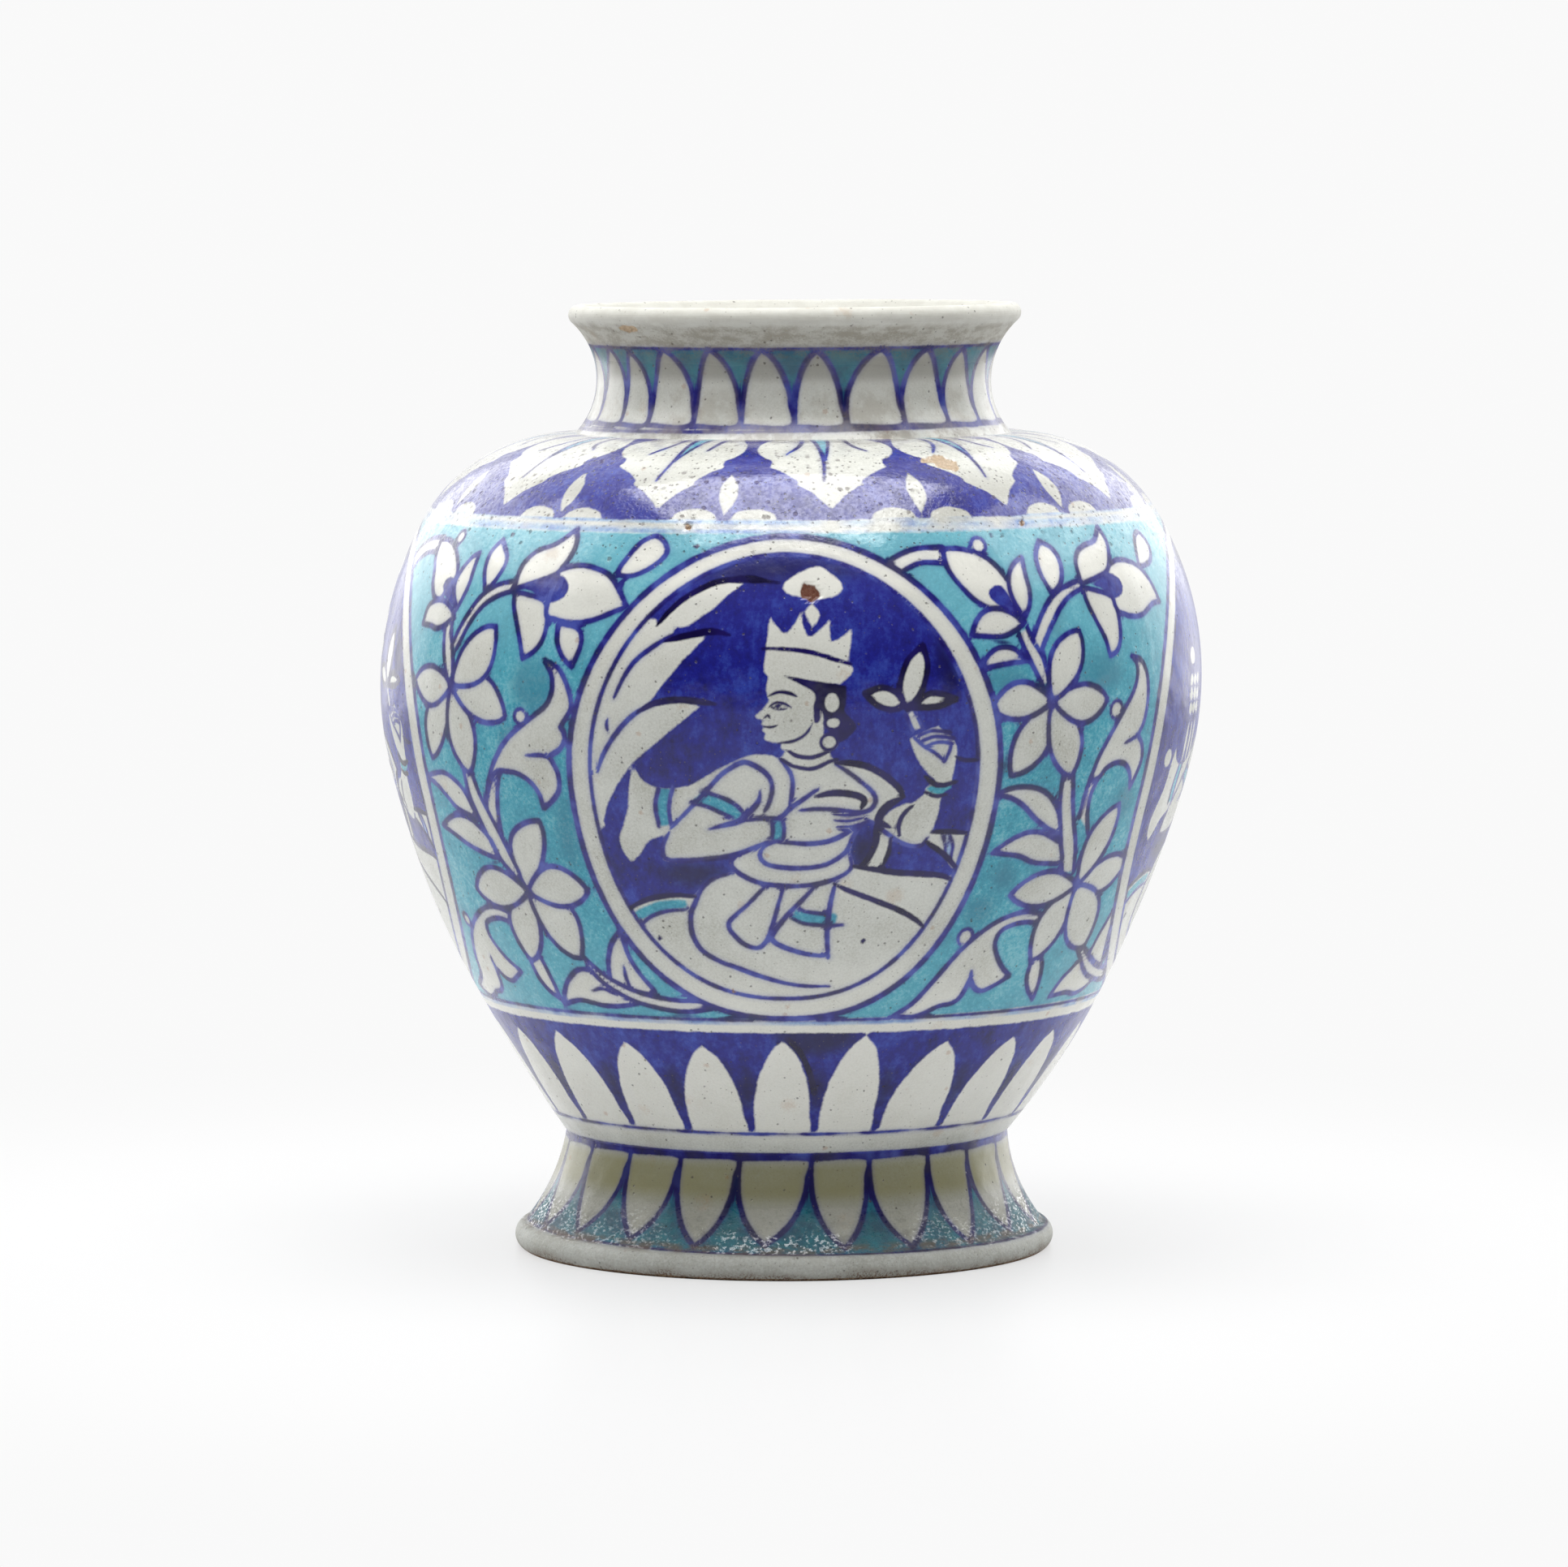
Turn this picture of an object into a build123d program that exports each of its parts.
from build123d import *

import os
from math import asin, cos, degrees, radians, sin

# A wide-shouldered faience jar on a flared foot: four pressed and turned sections, luted together.
# Every piece is a solid of revolution about Z. Outlines are drawn as (radius, height) in millimetres,
# angles are in degrees, and height 0 is the surface that the jar stands on.

# Foot: a flared ring that carries the body, hollow underneath
foot_height = 27.4
foot_joint_radius = 51.7
foot_start_angle = 6.4
foot_flare = 11.3
foot_rim_height = 5.9
foot_rim_bulge = 2.5
foot_rim_tuck = 1.6
foot_wall = 6.6
foot_contact_width = 8.0

# Body: two pressed bowls that meet rim to rim at the widest girth
belly_radius = 95.7
body_wall = 6.0
floor_thickness = 7.0
floor_corner_radius = 9.0
lower_body_height = 105.3
lower_belly_arc_radius = 81.6
lower_belly_arc_angle = 15.0
upper_body_height = 57.5
shoulder_turn_angle = 29.8
shoulder_ledge = 1.5

# Neck: a turned collar with a flared, full-round lip
neck_height = 29.8
neck_waist_radius = 46.1
neck_waist_rise = 12.2
neck_base_flare = 4.7
neck_wall = 6.1
lip_flare = 6.8
lip_round = 2.3
lip_slope = 48.0
throat_straight = 8.8

# Luting paste: pressed into grooves inside the two body joints, and smeared round the foot's inner corner
groove = 2.5
foot_luting_leg = 5.0
foot_luting_hollow = 0.8

# Radii that follow from the foot's joint and the neck's waist
foot_rim_radius = foot_joint_radius + foot_flare
foot_contact_radius = foot_rim_radius - foot_rim_tuck
neck_base_radius = neck_waist_radius + neck_base_flare
lip_radius = neck_waist_radius + lip_flare
throat_radius = neck_waist_radius - neck_wall
shoulder_flat_radius = neck_base_radius + shoulder_ledge

# Levels of the three joints and of the lip
foot_joint_level = foot_height
belly_level = foot_joint_level + lower_body_height
seat_level = belly_level + upper_body_height
lip_level = seat_level + neck_height
floor_level = foot_joint_level + floor_thickness

# The shoulder is two arcs, vertical at the belly and level at the neck's seat. Their radii follow from
# the height and the reach that the two arcs share out between them.
turn = radians(shoulder_turn_angle)
shoulder_reach = belly_radius - shoulder_flat_radius
upper_belly_arc_radius = (upper_body_height * cos(turn) - shoulder_reach * (1 - sin(turn))) / (
    sin(turn) * cos(turn) - (1 - cos(turn)) * (1 - sin(turn))
)
shoulder_arc_radius = (shoulder_reach - upper_belly_arc_radius * (1 - cos(turn))) / cos(turn)
upper_belly_centre = Vector(belly_radius - upper_belly_arc_radius, belly_level)
shoulder_centre = Vector(shoulder_flat_radius, seat_level - shoulder_arc_radius)

# The lower body is a belly arc and a long flank arc, tangent to it, that ends on the foot's joint.
flank_turn = radians(lower_belly_arc_angle)
flank_normal = Vector(cos(flank_turn), -sin(flank_turn))
lower_belly_centre = Vector(belly_radius - lower_belly_arc_radius, belly_level)
flank_top = lower_belly_centre + flank_normal * lower_belly_arc_radius
flank_chord = Vector(foot_joint_radius, foot_joint_level) - flank_top
flank_arc_radius = -flank_chord.dot(flank_chord) / (2 * flank_chord.dot(flank_normal))
flank_centre = flank_top - flank_normal * flank_arc_radius


def turned(outline):
    """The solid that a closed outline sweeps in one turn about Z."""
    return revolve(make_face(Plane.XZ * outline), Axis.Z)


def arc_point(centre, radius, angle):
    """The point of an arc at an angle above the horizontal, in degrees."""
    return centre + Vector(cos(radians(angle)), sin(radians(angle))) * radius


def depth_angle(centre, radius, level):
    """The angle in degrees below the horizontal at which an arc comes down to a level."""
    return degrees(asin((centre.Y - level) / radius))


def arc_between(centre, radius, first, last):
    """The part of an arc between two angles above the horizontal, in degrees."""
    return CenterArc(centre, radius, first, last - first)


def upper_wall_foot():
    """Where the upper bowl's inner wall ends, above the belly groove."""
    radius = upper_belly_arc_radius - body_wall
    return radius, degrees(asin(groove / radius))


def lower_wall_top():
    """Where the lower bowl's inner wall ends, below the belly groove."""
    radius = lower_belly_arc_radius - body_wall
    return radius, -degrees(asin(groove / radius))


def make_foot():
    joint_outer = (foot_joint_radius, foot_joint_level)
    joint_inner = (foot_joint_radius - foot_wall, foot_joint_level)
    rim_top = (foot_rim_radius - foot_rim_bulge, foot_rim_height)
    rim_belly = (foot_rim_radius, foot_rim_height / 2)
    contact_outer = (foot_contact_radius, 0)
    contact_inner = (foot_contact_radius - foot_contact_width, 0)
    start = radians(foot_start_angle)
    outline = (
        TangentArc(joint_outer, rim_top, tangent=(sin(start), -cos(start)))
        + ThreePointArc(rim_top, rim_belly, contact_outer)
        + Polyline(contact_outer, contact_inner, joint_inner, joint_outer)
    )
    return turned(outline)


def make_lower_body():
    outer_end = -depth_angle(flank_centre, flank_arc_radius, foot_joint_level)
    inner_flank_radius = flank_arc_radius - body_wall
    inner_end = -depth_angle(flank_centre, inner_flank_radius, floor_level)
    inner_belly_radius, inner_start = lower_wall_top()
    wall_top = arc_point(lower_belly_centre, inner_belly_radius, inner_start)
    corner = arc_point(flank_centre, inner_flank_radius, inner_end)
    outline = (
        arc_between(lower_belly_centre, lower_belly_arc_radius, 0, -lower_belly_arc_angle)
        + arc_between(flank_centre, flank_arc_radius, -lower_belly_arc_angle, outer_end)
        + Polyline(
            (foot_joint_radius, foot_joint_level), (0, foot_joint_level), (0, floor_level), corner
        )
        + arc_between(flank_centre, inner_flank_radius, inner_end, -lower_belly_arc_angle)
        + arc_between(lower_belly_centre, inner_belly_radius, -lower_belly_arc_angle, inner_start)
        + Polyline(
            wall_top, (belly_radius - body_wall + groove, belly_level), (belly_radius, belly_level)
        )
    )
    section = make_face(outline)
    inside_corner = section.vertices().sort_by_distance(corner)[0]
    return revolve(Plane.XZ * fillet(inside_corner, floor_corner_radius), Axis.Z)


def make_upper_body():
    inner_belly_radius, inner_start = upper_wall_foot()
    wall_foot = arc_point(upper_belly_centre, inner_belly_radius, inner_start)
    inner_shoulder_radius = shoulder_arc_radius - body_wall
    outline = (
        arc_between(upper_belly_centre, upper_belly_arc_radius, 0, shoulder_turn_angle)
        + arc_between(shoulder_centre, shoulder_arc_radius, shoulder_turn_angle, 90)
        + Polyline(
            (shoulder_flat_radius, seat_level),
            (throat_radius + groove, seat_level),
            (throat_radius, seat_level - groove),
            (throat_radius, seat_level - body_wall),
            (shoulder_flat_radius, seat_level - body_wall),
        )
        + arc_between(shoulder_centre, inner_shoulder_radius, 90, shoulder_turn_angle)
        + arc_between(upper_belly_centre, inner_belly_radius, shoulder_turn_angle, inner_start)
        + Polyline(
            wall_foot, (belly_radius - body_wall + groove, belly_level), (belly_radius, belly_level)
        )
    )
    return turned(outline)


def make_neck():
    lip_centre = Vector(lip_radius - lip_round, lip_level - lip_round)
    lip_under = arc_point(lip_centre, lip_round, -lip_slope)
    lip_inside = arc_point(lip_centre, lip_round, 180 - lip_slope)
    waist = (neck_waist_radius, seat_level + neck_waist_rise)
    base_outer = (neck_base_radius, seat_level)
    throat_top = (throat_radius, seat_level + throat_straight)
    outline = (
        TangentArc(waist, base_outer, tangent=(0, -1))
        + TangentArc(waist, lip_under, tangent=(0, 1))
        + arc_between(lip_centre, lip_round, -lip_slope, 180 - lip_slope)
        + TangentArc(throat_top, lip_inside, tangent=(0, 1))
        + Polyline(
            throat_top,
            (throat_radius, seat_level + groove),
            (throat_radius + groove, seat_level),
            base_outer,
        )
    )
    return turned(outline)


def make_neck_luting():
    outline = Polyline(
        (throat_radius, seat_level - groove),
        (throat_radius + groove, seat_level),
        (throat_radius, seat_level + groove),
        close=True,
    )
    return turned(outline)


def make_belly_luting():
    upper = arc_point(upper_belly_centre, *upper_wall_foot())
    lower = arc_point(lower_belly_centre, *lower_wall_top())
    wall_line = (belly_radius - body_wall, belly_level)
    groove_bottom = (belly_radius - body_wall + groove, belly_level)
    outline = ThreePointArc(lower, wall_line, upper) + Polyline(upper, groove_bottom, lower)
    return turned(outline)


def make_foot_luting():
    corner = Vector(foot_joint_radius - foot_wall, foot_joint_level)
    wall_foot = Vector(foot_contact_radius - foot_contact_width, 0)
    on_foot = corner + (wall_foot - corner).normalized() * foot_luting_leg
    on_floor = corner - Vector(foot_luting_leg, 0)
    middle = (on_foot + on_floor) / 2
    hollow = middle + (corner - middle).normalized() * foot_luting_hollow
    outline = ThreePointArc(on_foot, hollow, on_floor) + Polyline(on_floor, corner, on_foot)
    return turned(outline)


pieces = {
    "foot": make_foot(),
    "lower_body": make_lower_body(),
    "upper_body": make_upper_body(),
    "neck": make_neck(),
    "foot_luting": make_foot_luting(),
    "belly_luting": make_belly_luting(),
    "neck_luting": make_neck_luting(),
}

os.makedirs("parts", exist_ok=True)
for name, piece in pieces.items():
    export_step(piece, f"parts/{name}.step")
